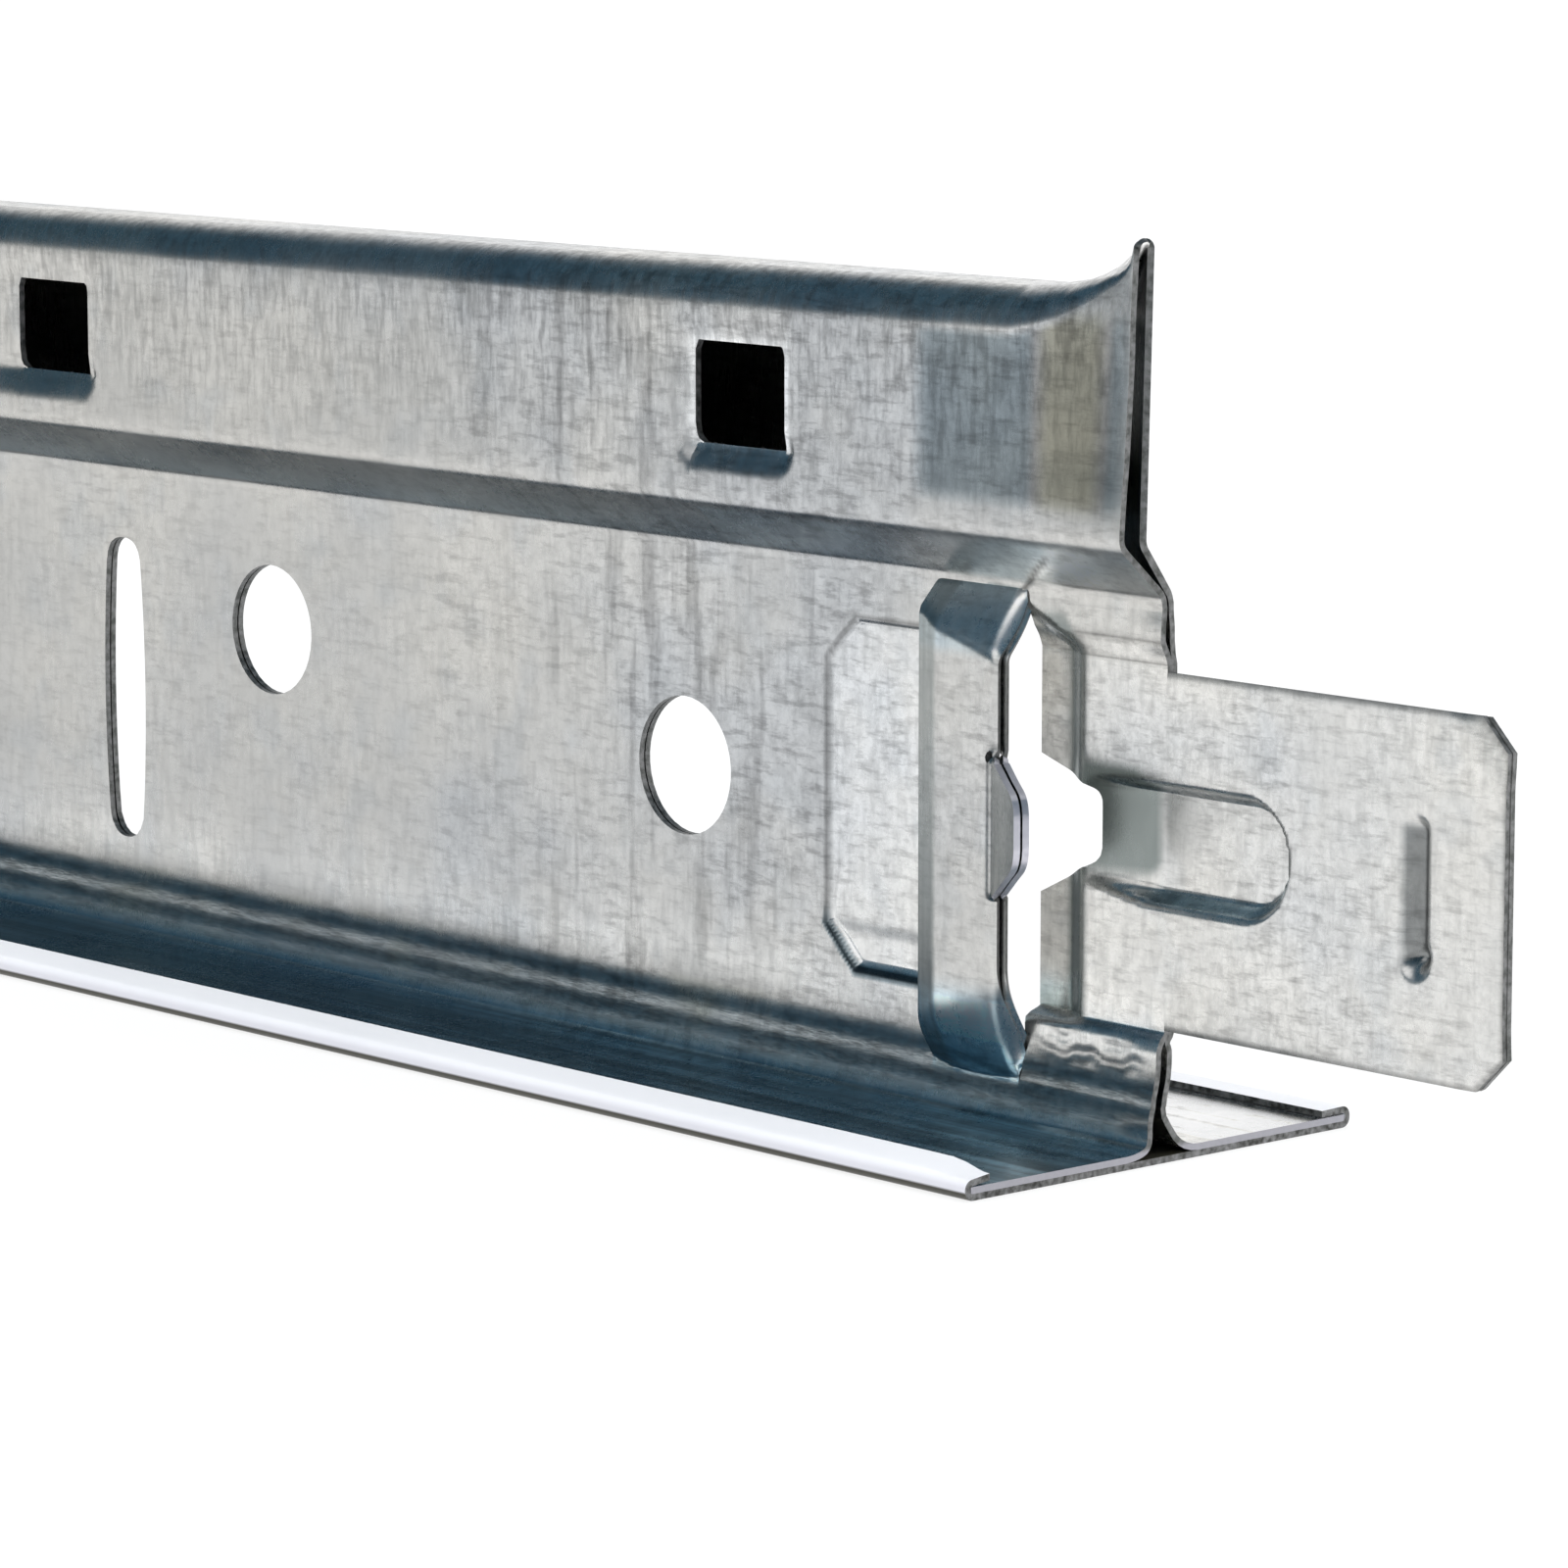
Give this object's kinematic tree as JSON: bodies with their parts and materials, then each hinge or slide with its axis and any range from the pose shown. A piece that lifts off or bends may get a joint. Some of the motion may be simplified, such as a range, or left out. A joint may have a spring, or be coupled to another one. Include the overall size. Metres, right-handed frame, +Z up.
{
  "type": "ceiling grid tee",
  "caption": "Long inverted steel tee for a suspended ceiling, with a hollow bulb on top, a folded web with slots and hanger holes, a hemmed white face and a splice tongue at each end.",
  "frame": {"origin": "under the middle of the visible face, on the level it rests on", "axes": "+X along the runner towards one splice tongue, +Y across the face, +Z up through the web to the bulb"},
  "size_m": [3.6968, 0.0238, 0.0406],
  "materials": {
    "galvanised_steel": "hot dip galvanised, bare, satin with a faint cross hatch",
    "white_paint": "factory baked white paint, satin"
  },
  "bodies": {
    "root": {"tee_body": "galvanised_steel", "face_cap": "white_paint"}
  },
  "joints": []
}
